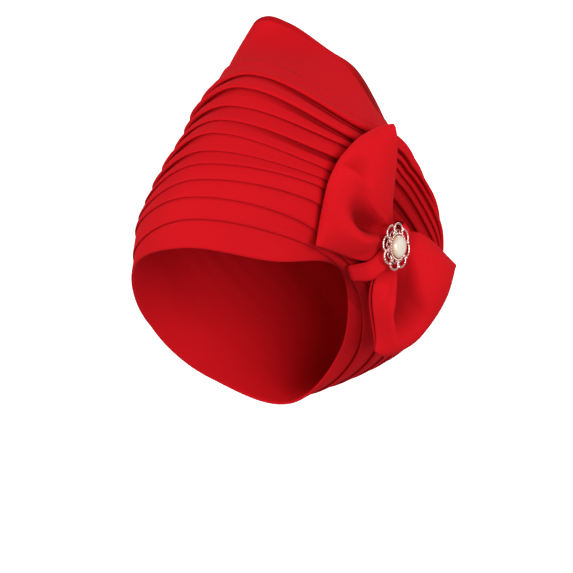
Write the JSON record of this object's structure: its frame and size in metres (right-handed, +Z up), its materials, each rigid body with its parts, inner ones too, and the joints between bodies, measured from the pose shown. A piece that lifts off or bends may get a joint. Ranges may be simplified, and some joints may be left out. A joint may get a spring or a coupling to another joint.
{
  "type": "head wrap",
  "caption": "Ready-tied cloth head wrap: a pleated crown that leans back to a soft peak, with a two-winged bow at the wearer's left held by a strap and a pearl brooch",
  "frame": {"origin": "On the axis of the head, level with the lower edge of the brim at the middle of the front, where the wrap sits on the head", "axes": "-Y is the way the wearer faces, +X is the wearer's left, where the bow is, and +Z is up"},
  "size_m": [0.2176, 0.2628, 0.2946],
  "materials": {
    "crown_cloth": "matte red double knit",
    "bow_cloth": "matte red double knit",
    "brooch_metal": "pale rose plating, darker in the recesses",
    "pearl": "cream imitation pearl"
  },
  "bodies": {
    "root": {"pleated_crown": "crown_cloth", "bow_upper_wing": "bow_cloth", "bow_lower_wing": "bow_cloth", "knot_strap": "bow_cloth", "brooch_setting": "brooch_metal", "brooch_pearl": "pearl"}
  },
  "joints": []
}
